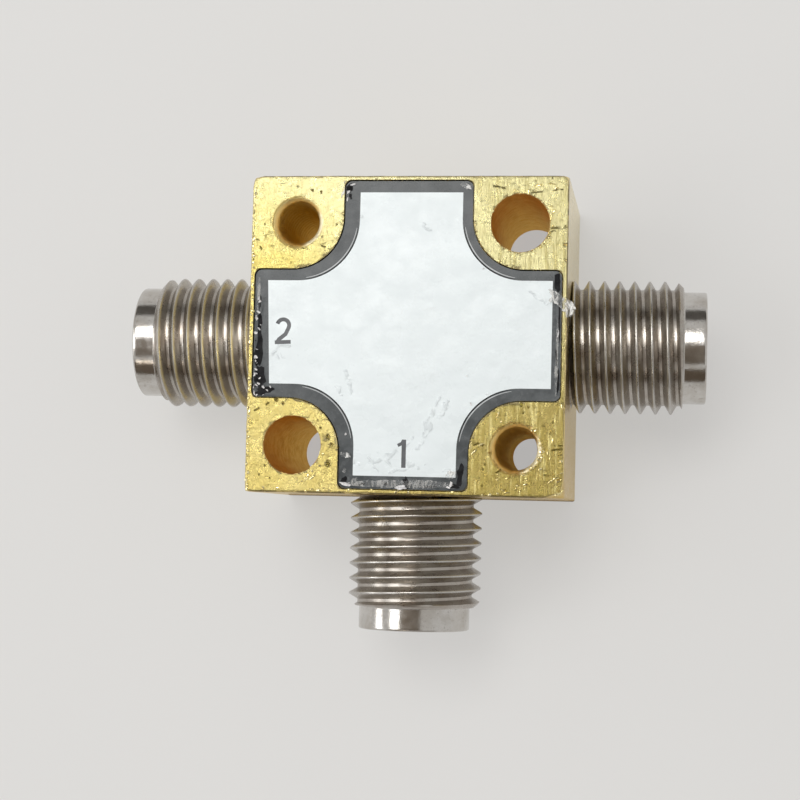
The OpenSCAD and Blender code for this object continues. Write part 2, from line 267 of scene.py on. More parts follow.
def gold_look():
    """Scratched gold plate: cloudy on the front's left, scored on its right, brushed on the sides, with
    painted shade and highlights.
    """
    look = Look("gold_plate", (0.9, 0.7, 0.25), 0.3, 1.0)
    x, y, z = look.axes()
    up = look.axes(look.facing)[2]
    front = up.ramp(0.75, 0.97)
    upright = 1 - front
    flat = look.vector("MULTIPLY", look.place, (1, 1, 0))
    mirrored = look.vector("ABSOLUTE", flat)
    to_axis = look.vector("DISTANCE", mirrored, (HOLE_XY, HOLE_XY, 0))
    bore = to_axis.ramp(SCREW_R + 0.01, SCREW_R + 0.05, 1, 0) * upright
    right = x.ramp(-2.0, 5.5)

    mottle = look.noise(2.6, 5.0, 0.7)
    grain = look.noise((9.0, 5.0, 7.0), 4.0, 0.7)
    patches = look.noise(0.5, 3.0, 0.6).ramp(0.35, 0.65)
    look.color = look.mix(patches, (0.78, 0.65, 0.21), (0.885, 0.765, 0.315))
    look.paint(mottle.ramp(0.48, 0.70, 0, 0.6), (0.62, 0.48, 0.12))
    look.paint(grain.ramp(0.54, 0.68, 0, 0.45), (0.46, 0.37, 0.09))
    # Painted shade and highlight: the front is darker towards the bottom and the lower right, and paler
    # towards the top right
    look.paint(y.ramp(-5.0, 1.0, 0.55, 0), (0.54, 0.42, 0.15))
    look.paint((y + x * 0.6).ramp(-1.0, 5.0, 0, 0.62), (0.925, 0.88, 0.54))
    look.paint((x - y).ramp(2.0, 11.0) * 0.72, (0.38, 0.285, 0.08))
    look.paint(look.noise((15.0, 0.9, 1.0), 3.0, 0.6).ramp(0.58, 0.70, 0, 0.4), (0.55, 0.46, 0.13))
    look.paint(look.noise((5.0, 8.0, 1.0), 4.0, 0.75).ramp(0.55, 0.64, 0, 0.5), (0.56, 0.50, 0.17))
    marks = look.noise((0.4, 0.4, 8.0), 4.0, 0.7)
    side = look.mix(mottle.ramp(0.35, 0.7), (0.92, 0.78, 0.41), (0.87, 0.72, 0.35))
    side = look.mix(marks.ramp(0.45, 0.7, 0, 0.5), side, (0.74, 0.59, 0.27))
    # Painted shade: the lower part of the right side and the near side are darker
    painted_side_shade = (x.ramp(6.9, 7.2) * y.ramp(-6.5, 1.5, 0.5, 0)).at_least(y.ramp(-7.2, -6.9, 0.6, 0))
    side = look.mix(painted_side_shade, side, (0.64, 0.50, 0.24))
    look.color = look.mix(front, side, look.color)
    # Painted shade: the pocket's wall is darkened into a shadow line round the label
    across, along = look.axes(mirrored)[:2]
    pocket_wall_shade = across.at_least(along).ramp(HALF - 0.25, HALF - 0.15, 1, 0) * up.ramp(0.35, 0.75, 0.85, 0)
    look.paint(pocket_wall_shade, (0.16, 0.12, 0.04))

    lines = look.noise((7.0, 0.5, 0.5), 4.0, 0.7).ramp(0.32, 0.68)
    nicks = look.noise((3.0, 9.0, 1.0), 3.0, 0.6).ramp(0.60, 0.72) * look.noise(0.8, 2.0).ramp(0.5, 0.62)
    look.paint(lines.ramp(0.55, 0.95) * (right * 0.5) * front, (0.32, 0.25, 0.06))
    # Painted highlights: pale glints along the machining lines on the right of the front
    look.paint(lines.ramp(0.0, 0.32, 0.40, 0) * (right * front), (0.90, 0.82, 0.40))
    relief = lines * (right * 0.75 + 0.12) + grain.ramp(0.35, 0.65) * 0.30 + mottle.ramp(0.3, 0.7) * 0.45
    relief = relief - nicks * 0.5 + marks * upright

    pits = look.cells(2.3, (0.31, 0.17, 0.0)).ramp(0.04, 0.15, 1, 0) * look.noise(0.9, 2.0).ramp(0.45, 0.6)
    ragged = look.wandering(flat, 5.0, 0.16)
    for *centre, radius in PITS:
        gap = look.vector("DISTANCE", ragged, (*centre, 0))
        pits = pits.at_least(gap.ramp(radius * 0.55, radius * 1.05, 1, 0))
    pits = pits * front
    cuts = look.strokes(SCRATCHES, look.place) * look.noise(3.5, 2.0).ramp(0.42, 0.56) * front
    relief = relief - pits * 1.3 - cuts * 1.1
    look.paint(pits * 0.75, (0.26, 0.21, 0.04))
    look.paint(cuts * 0.85, (0.13, 0.10, 0.02))

    # The holes' walls, painted darker with depth as shade, and the tapped holes' lips, bruised on their
    # right and painted bright there as a highlight
    plain = (x * y).ramp(-1.0, 1.0)
    tapped = 1 - plain
    lip = bore * z.ramp(TOP - 0.26, TOP - 0.22) * tapped
    # Painted shade: the tapped holes' walls darken towards the bottom, far more in the lower right one than
    # in the upper left one
    bottom = look.mix(x.ramp(-1.0, 1.0), (1.0, 0.71, 0.27), (0.45, 0.22, 0.06))
    shaded_depths = look.mix(z.ramp(0.5, 5.5), bottom, (1.0, 0.80, 0.35))
    worn = look.mix(mottle.ramp(0.35, 0.65), (0.93, 0.62, 0.23), (0.84, 0.52, 0.17))
    look.paint(bore, look.mix(lip, look.mix(plain, shaded_depths, worn), (0.94, 0.69, 0.29)))
    side_of_x = look.math("SIGN", x)
    right_of = x - side_of_x * HOLE_XY
    above = y + side_of_x * HOLE_XY
    # The lip's right side is bruised, with more roughness and relief, and painted bright there as a
    # highlight
    bruise_and_highlight = (right_of - above * 0.45).ramp(0.55, 0.95) * lip
    look.paint(bruise_and_highlight, (1.0, 0.95, 0.72))
    # Painted shade: a dark ring at the lip's outer edge, strongest on its left
    outline = abs(to_axis - (TAP_R + 0.245)).ramp(0.015, 0.05, 1, 0) * tapped
    look.paint(outline * right_of.ramp(-0.2, 0.9, 0.75, 0), (0.42, 0.27, 0.07))
    # Painted shade: dark lines along the far rim, the near one and the upper part of the right one
    far = y.ramp(HALF - 0.065, HALF - 0.035)
    beyond = x.ramp(HALF - 0.065, HALF - 0.035) * y.ramp(0.5, 2.5)
    near = y.ramp(-HALF + 0.06, -HALF + 0.10, 0.85, 0)
    painted_rim_shade = far.at_least(beyond).at_least(near) * z.ramp(TOP - 0.14, TOP - 0.10)
    look.paint(painted_rim_shade * look.noise(1.3).ramp(0.36, 0.50, 0.25, 1) * 0.9, (0.10, 0.08, 0.05))

    # The painted side shade also makes the sides' reflections darker and yellower, through the specular tint
    tint = look.mix(look.math("MULTIPLY", painted_side_shade, 1.6, clamp=True), (1.0, 1.0, 1.0), (0.88, 0.72, 0.42))
    look.set("Specular Tint", look.mix(bore, tint, (1.0, 0.80, 0.38)))
    rough = mottle.ramp(0.3, 0.7, 0.12, 0.24) + front * 0.12 + bruise_and_highlight * 0.2 + bore * 0.22
    return look.finished(rough, relief * (front.at_least(bruise_and_highlight) * 0.8 + 0.2), 0.042)


def steel_look():
    """Turned steel: brownish thread flanks darkened by oxide and painted shade, lighter crests and a smooth
    rim.
    """
    look = Look("turned_steel", (0.55, 0.53, 0.50), 0.14, 1.0)
    x, y, z = look.axes()
    along_x, along_y, up = abs(x), abs(y), z - AXIS_Z
    across = look.math("MINIMUM", along_x, along_y)
    radius = look.math("SQRT", across * across + up * up)
    thread_end = HALF + CREST_LENGTH
    thread = along_x.at_least(along_y).ramp(thread_end + 0.25, thread_end + 0.32, 1, 0)
    crest = radius.ramp(CREST_R - 0.09, CREST_R - 0.03)
    stains = look.noise(0.9, 4.0, 0.6).ramp(0.35, 0.7)
    smooth = look.mix(stains, (0.62, 0.60, 0.575), (0.48, 0.45, 0.41))
    # The thread's flanks are darker than its crests and the rim: partly oxide, partly painted shade in the
    # grooves
    oxide_and_groove_shade = look.mix(stains, (0.47, 0.44, 0.40), (0.36, 0.32, 0.28))
    look.color = look.mix(thread * (1 - crest), smooth, oxide_and_groove_shade)
    look.paint(look.noise(6.0, 3.0, 0.6).ramp(0.58, 0.72) * 0.35, (0.20, 0.17, 0.14))
    look.paint(crest * 0.5, (0.46, 0.445, 0.42))
    rough = look.noise(2.5, 4.0, 0.6).ramp(0.3, 0.7, 0.09, 0.19) + thread * 0.16
    return look.finished(rough, look.noise(14.0, 2.0, 0.6), 0.003)


# Creases in the white film: both ends and the width
CREASES = [
    (-6.35, -1.2, -5.7, -0.6, 0.05), (-5.8, -0.55, -5.35, -0.6, 0.07), (-5.7, -0.85, -5.6, -1.1, 0.07),
    (-6.25, -1.25, -5.9, -1.1, 0.05), (-1.55, -5.85, -0.2, -5.3, 0.08), (-0.8, -5.5, -0.5, -6.1, 0.07),
    (0.17, -5.7, 0.45, -5.9, 0.07), (0.7, -6.0, 1.0, -5.9, 0.06), (-2.4, -5.35, -2.2, -5.8, 0.07),
    (0.65, -5.15, 1.3, -3.9, 0.09), (1.8, -6.15, 2.15, -6.05, 0.07), (-1.15, -5.4, -0.65, -5.5, 0.06),
    (1.5, -2.9, 0.95, -4.25, 0.1), (1.95, -3.05, 1.6, -3.75, 0.07), (-2.7, -1.75, -2.4, -2.6, 0.09),
    (-3.1, -2.35, -2.9, -2.7, 0.07), (0.35, -4.6, 0.05, -5.0, 0.06), (-0.6, -6.2, 0.1, -6.05, 0.06),
    (-1.6, -5.6, -1.1, -6.2, 0.05), (0.6, 5.05, 1.05, 4.85, 0.06), (5.6, 1.95, 6.3, 1.45, 0.05),
]


def white_look():
    """White printed film under a clear coat, with faint smudges, small bubbles and creases."""
    look = Look("label_white", (0.83, 0.87, 0.88), 0.3)
    smudge = look.noise((0.45, 0.72, 0.45), 4.0, 0.6).ramp(0.45, 0.75)
    look.color = look.mix(smudge * 0.7, (0.80, 0.86, 0.88), (0.74, 0.80, 0.82))
    # Painted shade: the white darkens towards the right
    look.paint(look.axes()[0].ramp(-5.0, 6.5, 0, 0.45), (0.73, 0.79, 0.81))
    faint = look.noise(2.2, 3.0, 0.6, warp=0.6).ramp(0.60, 0.75)
    near_middle = look.vector("DISTANCE", look.place, (0.3, 0.0, LABEL_Z)).ramp(1.6, 3.0, 1, 0)
    look.paint(faint * (near_middle * 0.5), (0.68, 0.72, 0.735))
    creased = look.strokes(CREASES, look.wandering(look.place, 2.2, 0.55), 1.5)
    creased = creased * look.noise(3.0, 2.0).ramp(0.35, 0.6)
    # Painted shade: the creases are darker
    look.paint(creased * 0.4, (0.52, 0.56, 0.58))
    bubbles = look.cells(0.55, (0.4, 0.9, 0.0)).ramp(0.02, 0.07, 1, 0)
    look.paint(bubbles * 0.4, (0.62, 0.66, 0.68))
    relief = look.noise(0.9) * 1.2 + creased + bubbles
    return look.finished(look.noise(1.2).ramp(0.3, 0.7, 0.22, 0.36), relief, 0.02)


def clear_look(name, strength):
    """Clear film torn loose from the label, whitish where it is creased."""
    look = Look(name, (0.85, 0.84, 0.80), 0.12)
    streaks = look.noise((5.0, 1.75, 2.5), 4.0, 0.7, warp=1.0).ramp(0.42, 0.62)
    look.color = look.mix(streaks, (0.62, 0.63, 0.63), (0.93, 0.92, 0.89))
    look.set("Alpha", streaks.ramp(0, 1, 0.06, strength))
    return look.finished(streaks.ramp(0, 1, 0.08, 0.3), look.noise(3.0), 0.03)


def film_look(name, low, high, roughness, grain, depth=0.004, shine=0.5, metallic=0.0, fine=(1.5, 3.0)):
    """A plain printed or plated film: two close tones and small unevenness."""
    look = Look(name, low, roughness, metallic)
    look.set("Specular IOR Level", shine)
    look.paint(look.noise(grain, 4.0, 0.6).ramp(0.35, 0.65), high)
    rough = look.noise(grain * 2).ramp(0.3, 0.7, roughness * 0.8, roughness * 1.25)
    return look.finished(rough, look.noise(grain * fine[0], fine[1]), depth)


def metal_look(name, low, high, roughness, grain):
    return film_look(name, low, high, roughness, grain, 0.002, metallic=1.0, fine=(5, 2.0))


GOLD = gold_look()
FRESH_GOLD = metal_look("fresh_gold", (0.90, 0.76, 0.34), (0.99, 0.90, 0.55), 0.16, 4.0)
STEEL = steel_look()
WHITE = white_look()
SLATE = film_look("label_border", (0.055, 0.062, 0.066), (0.086, 0.095, 0.100), 0.24, 1.5, shine=0.3)
HAIRLINE = film_look("label_hairline", (0.38, 0.40, 0.41), (0.50, 0.52, 0.53), 0.3, 1.5)
INK = film_look("label_ink", (0.075, 0.080, 0.088), (0.105, 0.110, 0.118), 0.35, 2.0)
TORN = film_look("torn_film", (0.004, 0.004, 0.005), (0.016, 0.016, 0.018), 0.5, 4.0, 0.02, shine=0.12)
FLAKE = film_look("film_flake", (0.50, 0.49, 0.50), (0.82, 0.81, 0.80), 0.3, 4.0, 0.02)
CLEAR = clear_look("clear_film", 0.22)
SCRAP = clear_look("creased_film", 0.62)
CONTACT = metal_look("contact_plate", (0.86, 0.62, 0.24), (0.93, 0.72, 0.33), 0.2, 2.0)
BEAD = film_look("bead_plastic", (0.66, 0.52, 0.27), (0.74, 0.60, 0.34), 0.45, 2.0)
CERAMIC = film_look("alumina", (0.80, 0.79, 0.75), (0.86, 0.85, 0.82), 0.55, 6.0)
RESISTOR = metal_look("resistor_film", (0.10, 0.10, 0.12), (0.16, 0.16, 0.19), 0.35, 8.0)
GLASS = film_look("sealing_glass", (0.03, 0.05, 0.065), (0.05, 0.075, 0.09), 0.12, 3.0)

NODE_LOOKS = {
    "cover": GOLD, "chip": CERAMIC, "junction_pad": CONTACT, "trace": CONTACT, "film_resistor": RESISTOR,
    "support_bead": BEAD, "retaining_sleeve": CONTACT, "center_contact": CONTACT,
    "sliding_contact": CONTACT, "glass_bead_ring": CONTACT, "glass_bead": GLASS, "bead_pin": CONTACT,
}
for node_name, node in frame["nodes"].items():
    look = NODE_LOOKS.get(node_name) or NODE_LOOKS.get(node_name.rstrip("_123"))
    if look:
        for place in node.material_slots:
            place.material = look


# Meshes
WELD = 1e-7  # in metres
SHARP_FROM = math.radians(35)


def new_mesh(name, points, faces, face_slots=None):
    mesh = bpy.data.meshes.new(name)
    mesh.from_pydata([Vector(p) * MM for p in points], [], faces)
    if face_slots:
        mesh.polygons.foreach_set("material_index", face_slots)
    mesh.update()
    return mesh


def reworked(mesh, work=None, target=None):
    """Does bmesh work on a mesh and turns its faces outward. The target takes the result, if given."""
    target = target or mesh
    bm = bmesh.new()
    bm.from_mesh(mesh)
    if work:
        work(bm)
    bmesh.ops.recalc_face_normals(bm, faces=bm.faces)
    bm.to_mesh(target)
    bm.free()
    return target


def new_piece(name, mesh, looks, stands_for=()):
    """Shows a mesh as a piece of the object, which rides on the part's one body."""
    for look in looks:
        mesh.materials.append(look)
    mesh.polygons.foreach_set("use_smooth", [True] * len(mesh.polygons))
    mesh.set_sharp_from_angle(angle=SHARP_FROM)
    piece = new_object(name, mesh)
    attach(piece, "root")
    if stands_for:
        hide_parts(*stands_for)


def polar(x, y, radius, angle):
    return x + radius * math.cos(angle), y + radius * math.sin(angle)


def swung(x, y, u, v, turn):
    """The place u along and v across a direction from x and y. The direction is turned by degrees."""
    c, s = math.cos(math.radians(turn)), math.sin(math.radians(turn))
    return x + u * c - v * s, y + u * s + v * c


def helix_faces(rows, last, columns, per_turn):
    """Faces of a grid whose rows climb like a screw, so that a row's end meets a later row's start."""
    faces = []
    for i in range(last):
        for j in range(columns):
            a = i * columns + j
            b = a + 1 if j + 1 < columns else (i + per_turn) * columns
            if b + columns < rows * columns:
                faces.append((a, b, b + columns, a + columns))
    return faces


# Connector shells with their coupling threads
PITCH = 0.7056
THREAD_DEPTH = 0.41
THREAD_END = 0.3
CREST_FLAT = 0.05
ROOT_FLAT = 0.11
# Rows of the mesh within one turn, as shares of the pitch from a crest to the next
CREST_TO_ROOT = (0.033, 0.052, 0.072, 0.12, 0.19, 0.28, 0.36, 0.405, 0.46)
ROW_SHARES = (0.0, *CREST_TO_ROOT, *[1 - share for share in reversed(CREST_TO_ROOT)])
ROWS_PER_PITCH = len(ROW_SHARES)
COLUMNS = 96
RIM_R = 2.62
RIM_EDGE = 0.1
SHANK_R = 2.896
LINE_R = 1.46
SEAT_R = 1.86
MOUTH_DEPTH = 1.9

# Direction outward, direction of angle 0, where a crest passes angle 0, and how round crests are
PORTS = {
    1: {"out": (0, -1, 0), "zero": (1, 0, 0), "crest": 0.739, "blend": 0.05},
    2: {"out": (-1, 0, 0), "zero": (0, 1, 0), "crest": 0.094, "blend": 0.42},
    3: {"out": (1, 0, 0), "zero": (0, 1, 0), "crest": 0.756, "blend": 0.05},
}


def eased(value, blend, corner=0.1):
    """value held between 0 and 1, with round corners of size blend at 0 and of size corner at 1."""
    if value <= -blend:
        return 0.0
    if value < blend:
        return (value + blend) ** 2 / (4 * blend)
    if value < 1 - corner:
        return value
    if value < 1 + corner:
        return 1 - (1 + corner - value) ** 2 / (4 * corner)
    return 1.0


def thread_radius(port, station, angle):
    turn = (station - port["crest"]) / PITCH - angle / TAU
    from_crest = abs((turn + 0.5) % 1 - 0.5)
    root = 0.5 - ROOT_FLAT
    depth = eased((from_crest - CREST_FLAT) / (root - CREST_FLAT), port["blend"]) * THREAD_DEPTH
    chamfer = CREST_R - max(0.0, station - CREST_LENGTH)
    return min(CREST_R - depth, chamfer)


def shell_mesh(n):
    port = PORTS[n]
    out, zero = Vector(port["out"]), Vector(port["zero"])
    side = out.cross(zero)
    origin = out * HALF + Vector((0, 0, AXIS_Z))
    front = CREST_LENGTH + THREAD_END
    points = []

    def add(station, radius, angle):
        spoke = zero * math.cos(angle) + side * math.sin(angle)
        points.append(origin + out * station + spoke * radius)

    def ring(station, radius):
        for column in range(COLUMNS):
            add(station, radius, TAU * column / COLUMNS)
        return range(len(points) - COLUMNS, len(points))

    # Thread rows follow the helix, and those past either end gather on the end's circle
    turns = range(-2 * ROWS_PER_PITCH, math.ceil(front / PITCH + 1) * ROWS_PER_PITCH + 1)
    for row in turns:
        whole, share = divmod(row, ROWS_PER_PITCH)
        for column in range(COLUMNS):
            angle = TAU * column / COLUMNS
            station = port["crest"] % PITCH + PITCH * (whole + ROW_SHARES[share] + column / COLUMNS)
            station = min(max(station, 0.0), front)
            add(station, thread_radius(port, station, angle), angle)
    faces = helix_faces(len(turns), len(turns) - 1, COLUMNS, ROWS_PER_PITCH)
    first_row, last_row = range(COLUMNS), range(len(points) - COLUMNS, len(points))

    edge, floor = RIM_EDGE, SHELL_TIP - MOUTH_DEPTH
    rounding = [(edge * math.sin(k * math.pi / 8), edge * math.cos(k * math.pi / 8)) for k in range(5)]
    profile = [
        (front + 0.03, RIM_R + 0.03), (front + 0.07, RIM_R), (SHELL_TIP - 2 * edge, RIM_R),
        *[(SHELL_TIP - edge + s, RIM_R - edge + c) for s, c in rounding],
        *[(SHELL_TIP - edge + c, MOUTH_R + edge - s) for s, c in rounding],
        (floor + 0.02, MOUTH_R), (floor, MOUTH_R - 0.02), (floor, LINE_R + 0.03), (floor - 0.03, LINE_R),
        (BEAD_FRONT, LINE_R), (BEAD_FRONT, SEAT_R), (SHELL_BACK, SEAT_R),
        (SHELL_BACK, SHANK_R - 0.1), (SHELL_BACK + 0.1, SHANK_R), (-0.02, SHANK_R),
    ]
    loops = [last_row] + [ring(*place) for place in profile] + [first_row]
    for low, high in zip(loops, loops[1:]):
        for j in range(COLUMNS):
            k = (j + 1) % COLUMNS
            faces.append((low[j], low[k], high[k], high[j]))

    def weld(bm):
        bmesh.ops.remove_doubles(bm, verts=bm.verts, dist=WELD)
        bmesh.ops.dissolve_degenerate(bm, dist=WELD, edges=bm.edges)

    return reworked(new_mesh(f"shell_{n}", points, faces), weld)


for n in PORTS:
    new_piece(f"threaded_shell_{n}", shell_mesh(n), [STEEL], [f"connector_shell_{n}"])


# Block
EDGE_STEPS = (0.0, 0.03, 0.07, 0.12, 0.18, 0.27)
GRID = 0.25
SKIN = 0.008
EDGE_ROUND = 0.12

# Bruises on the block: centre, radius, and how far the metal was pushed in
BRUISES = [
    ((7.2, -7.2, 10.5), 1.1, 0.22), ((-7.25, 7.25, 10.5), 0.55, 0.16),
    ((-7.25, -7.25, 10.5), 0.5, 0.08), ((7.25, 7.25, 10.5), 0.45, 0.10),
]


def lattice(low, high):
    """Places along one side of the block, close together near both ends."""
    count = round((high - low - 2 * EDGE_STEPS[-1]) / GRID)
    first, last = low + EDGE_STEPS[-1], high - EDGE_STEPS[-1]
    inner = [first + (last - first) * i / count for i in range(1, count)]
    return [low + s for s in EDGE_STEPS] + inner + [high - s for s in reversed(EDGE_STEPS)]


def knocked(point):
    """A point of the plain box moved onto the block's soft and knocked skin."""
    lows = [block_low.x + SKIN, block_low.y + SKIN, block_low.z]
    highs = [side - SKIN for side in block_high]
    radius = EDGE_ROUND * (1 + 0.45 * noise.noise(point * 1.9) + 0.25 * noise.noise(point * 6.0))
    inner = Vector([min(max(c, lo + radius), hi - radius) for c, lo, hi in zip(point, lows, highs)])
    offset = point - inner
    if offset.length > 1e-6:
        point = inner + offset.normalized() * radius
    for centre, reach, push in BRUISES:
        centre = Vector(centre)
        near = 1 - (point - centre).length / reach
        if near > 0:
            inward = (Vector((0, 0, AXIS_Z)) - centre).normalized()
            point = point + inward * push * near ** 1.5 * (1 + 0.5 * noise.noise(point * 3.0))
    return point


def block_mesh():
    places = [lattice(low + SKIN, high - SKIN) for low, high in zip(block_low, block_high)]
    places[2] = lattice(block_low.z, block_high.z - SKIN)
    index, points, faces = {}, [], []

    def vertex(*spot):
        if spot not in index:
            index[spot] = len(points)
            points.append(knocked(Vector([row[i] for row, i in zip(places, spot)])))
        return index[spot]

    # Two sides lie across each axis, and the faces of one of them are turned round
    ends = [len(row) - 1 for row in places]
    for across, far_turned in ((2, False), (1, True), (0, False)):
        first, second = [axis for axis in range(3) if axis != across]
        for i in range(ends[first]):
            for j in range(ends[second]):
                for end, is_turned in ((0, not far_turned), (ends[across], far_turned)):
                    quad = []
                    for along, up in ((i, j), (i + 1, j), (i + 1, j + 1), (i, j + 1)):
                        spot = [end] * 3
                        spot[first], spot[second] = along, up
                        quad.append(vertex(*spot))
                    faces.append(quad[::-1] if is_turned else quad)
    return new_mesh("block", points, faces)


# Heights where the holes' walls get a row of vertices, so that chips at a rim shade only the rim
WALL_ROWS = (0.1, 1.0, 3.0, 5.0, 7.0, 9.0, 10.0, 10.25, 10.38)
NEAR_EDGE = 0.125
ON_SIDE = 0.001


def cavity_mesh():
    """The block's holes, pocket, channel and bores as solids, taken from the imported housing."""
    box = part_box("housing")

    def sides(v, slack):
        """The sides of the box that a vertex is near, each as its axis and direction."""
        pairs = [(axis, side, end[axis]) for axis in range(3) for side, end in zip((-1, 1), box)]
        return {(axis, side) for axis, side, place in pairs if abs(v.co[axis] - place) < slack * MM}

    def work(bm):
        for layer in list(bm.loops.layers.float_vector.values()):
            bm.loops.layers.float_vector.remove(layer)
        bmesh.ops.remove_doubles(bm, verts=bm.verts, dist=WELD)
        outer = []
        for face in bm.faces:
            on_plane = set.intersection(*[sides(v, ON_SIDE) for v in face.verts])
            if on_plane or all(len(sides(v, NEAR_EDGE)) >= 2 for v in face.verts):
                outer.append(face)
        bmesh.ops.delete(bm, geom=outer, context="FACES")
        for axis in range(3):
            for side in (-1, 1):
                on_side = {v for v in bm.verts if (axis, side) in sides(v, ON_SIDE)}
                rim = [e for e in bm.edges if e.is_boundary and on_side.issuperset(e.verts)]
                if not rim:
                    continue
                made = bmesh.ops.extrude_edge_only(bm, edges=rim)["geom"]
                shift = Vector([side * MM if a == axis else 0 for a in range(3)])
                moved = [g for g in made if isinstance(g, bmesh.types.BMVert)]
                bmesh.ops.translate(bm, verts=moved, vec=shift)
                loops = [g for g in made if isinstance(g, bmesh.types.BMEdge) and g.is_boundary]
                bmesh.ops.holes_fill(bm, edges=loops, sides=0)
        for z in WALL_ROWS:
            geometry = bm.verts[:] + bm.edges[:] + bm.faces[:]
            bmesh.ops.bisect_plane(bm, geom=geometry, plane_co=(0, 0, z * MM), plane_no=(0, 0, 1))

    return reworked(frame["nodes"]["housing"].data, work, bpy.data.meshes.new("cavities"))


TAP_PITCH = 0.4536
TAP_DEPTH = 0.07
TAP_COLUMNS = 32
TAP_PROFILE = (0.0, 0.45, 1.0, 0.45)


def tap_mesh(x, y):
    """A screw shape that cuts the internal thread of a tapped hole."""
    columns, per_pitch = TAP_COLUMNS, len(TAP_PROFILE)
    rows = range(-2 * per_pitch, (math.ceil(TOP / TAP_PITCH) + 2) * per_pitch + 1)
    points = []
    for row in rows:
        radius = TAP_R - 0.01 + TAP_DEPTH * TAP_PROFILE[row % per_pitch]
        for column in range(columns):
            z = TAP_PITCH * (row / per_pitch + column / columns)
            points.append((*polar(x, y, radius, TAU * column / columns), z))
    last = len(rows) - 1 - per_pitch
    faces = helix_faces(len(rows), last, columns, per_pitch)
    # The two open spirals are closed by fans to a point on the axis
    bottom, top = len(points), len(points) + 1
    points += [(x, y, -3 * TAP_PITCH), (x, y, TOP + 3 * TAP_PITCH)]
    low_edge = [*range(columns), *[i * columns for i in range(per_pitch, 0, -1)]]
    high_edge = [last * columns + j for j in low_edge]
    faces += [(b, a, bottom) for a, b in zip(low_edge, low_edge[1:] + low_edge[:1])]
    faces += [(a, b, top) for a, b in zip(high_edge, high_edge[1:] + high_edge[:1])]

    def drop_loose(bm):
        bmesh.ops.delete(bm, geom=[v for v in bm.verts if not v.link_faces], context="VERTS")

    return reworked(new_mesh("tap", points, faces), drop_loose)


def chips_mesh(spots):
    """Small rough blobs. A spot is its centre, its size and, where it is turned, its degrees."""
    bm = bmesh.new()
    for number, (centre, size, *turn) in enumerate(spots):
        spin = Euler((0, 0, math.radians(turn[0] if turn else 0)))
        seed = Vector((number * 3.1, 7.7, 0.0))
        for v in bmesh.ops.create_icosphere(bm, subdivisions=2, radius=1.0)["verts"]:
            rough = 1 + 0.5 * noise.noise(v.co * 1.3 + seed)
            shape = Vector([c * s * rough * MM for c, s in zip(v.co, size)])
            shape.rotate(spin)
            v.co = Vector(centre) * MM + shape
    mesh = bpy.data.meshes.new("chips")
    bm.to_mesh(mesh)
    bm.free()
    return mesh


# Areas of the front where knocks threw up burrs: middle, spread, count, direction and its spread
KNOCKED_AREAS = [
    (4.9, -6.6, 0.9, 0.45, 16, 30, 40), (5.9, -5.9, 0.35, 0.2, 5, 20, 20), (6.9, -6.5, 0.3, 0.5, 7, 30, 40),
    (7.05, -5.45, 0.1, 0.35, 5, 5, 12), (6.6, -4.6, 0.15, 0.9, 5, 85, 8), (4.3, -3.7, 0.15, 0.25, 4, 80, 20),
    (3.3, -5.1, 0.25, 0.2, 4, 30, 15), (7.1, -3.2, 0.05, 0.25, 2, 85, 10), (5.1, 6.5, 0.35, 0.06, 5, 85, 8),
    (6.4, 5.2, 0.15, 0.7, 6, 80, 30), (6.05, 4.1, 0.15, 0.15, 4, 45, 20), (4.4, 3.2, 0.3, 0.25, 3, 80, 20),
    (6.2, 6.8, 0.5, 0.2, 4, 20, 40), (-4.4, -6.65, 0.5, 0.15, 7, 60, 40),
]
# Crescents of crumbs at the holes: centre, first and last angle, radius and count
CRESCENTS = [
    (HOLE_XY, -HOLE_XY, -75, 50, 1.12, 26), (HOLE_XY, HOLE_XY, -40, 5, 1.40, 6),
    (-HOLE_XY, -HOLE_XY, -85, -5, 1.53, 6),
]
LEFT_CRUMBS, LOW_CRUMBS = 110, 22


def edge_crumbs():
    """Raised bits along the front's left and near edges and at some rims."""
    rng = random.Random(29)
    spots = []
    for x, y, start, end, radius, count in CRESCENTS:
        for _ in range(count):
            a = math.radians(rng.uniform(start, end))
            r = radius + rng.uniform(-0.07, 0.10)
            size = rng.uniform(0.04, 0.09)
            spots.append(((*polar(x, y, r, a), TOP - 0.01), (size, size * 0.8, 0.05)))
    for _ in range(LEFT_CRUMBS):
        y = rng.uniform(-HALF + 0.1, HALF - 0.6)
        size = rng.uniform(0.04, 0.08)
        place = (-HALF + rng.uniform(0.09, 0.17), y, TOP - 0.02)
        spots.append((place, (size, size * rng.uniform(0.9, 2.0), 0.06)))
    for _ in range(LOW_CRUMBS):
        x = rng.uniform(-HALF + 0.1, HALF - 0.3)
        size = rng.uniform(0.03, 0.08)
        place = (x, -HALF + rng.uniform(0.08, 0.24), TOP - 0.02)
        spots.append((place, (size * rng.uniform(0.7, 2.2), size, 0.05)))
    return spots


def on_metal(x, y, room):
    """Whether a place on the front has gold under it, and room before the next hole or the pocket."""
    across, along = abs(x), abs(y)
    hole = SCREW_R if x * y > 0 else TAP_R + TAP_LIP
    if math.hypot(across - HOLE_XY, along - HOLE_XY) < hole + room:
        return False
    from_land = math.hypot(max(0.0, LAND_CENTRE - across), max(0.0, LAND_CENTRE - along))
    return from_land < LAND_R - room or max(across, along) > LABEL_REACH + room


